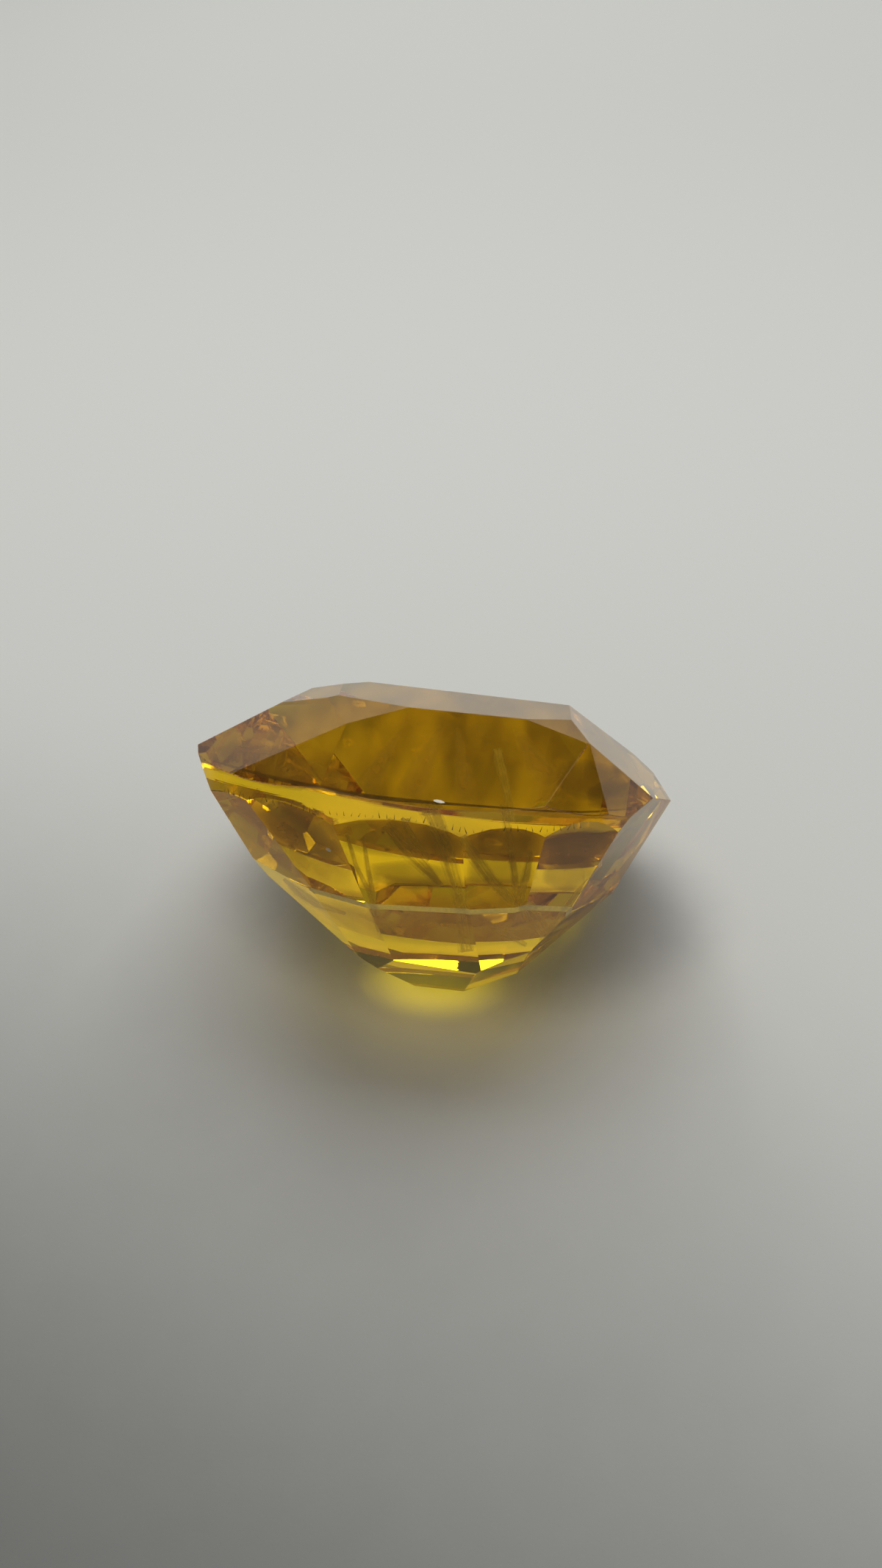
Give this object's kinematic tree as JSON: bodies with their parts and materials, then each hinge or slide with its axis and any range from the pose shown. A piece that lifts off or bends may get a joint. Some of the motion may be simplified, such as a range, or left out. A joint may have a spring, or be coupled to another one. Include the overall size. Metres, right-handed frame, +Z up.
{
  "type": "faceted yellow sapphire",
  "caption": "Loose oval mixed-cut golden-yellow gemstone with a large table, thick scalloped girdle and deep stepped pavilion, lying on one pavilion facet.",
  "frame": {"origin": "centre of the bounding box's underside, on the plane of the facet that the stone rests on", "axes": "+X along the stone's length, from the girdle's thick end to its thin end; +Z up from the resting facet; +Y to the side that the table leans towards"},
  "size_m": [0.0134, 0.0086, 0.0091],
  "materials": {
    "golden_crystal": "polished"
  },
  "bodies": {
    "root": {"sapphire": "golden_crystal"}
  },
  "joints": []
}
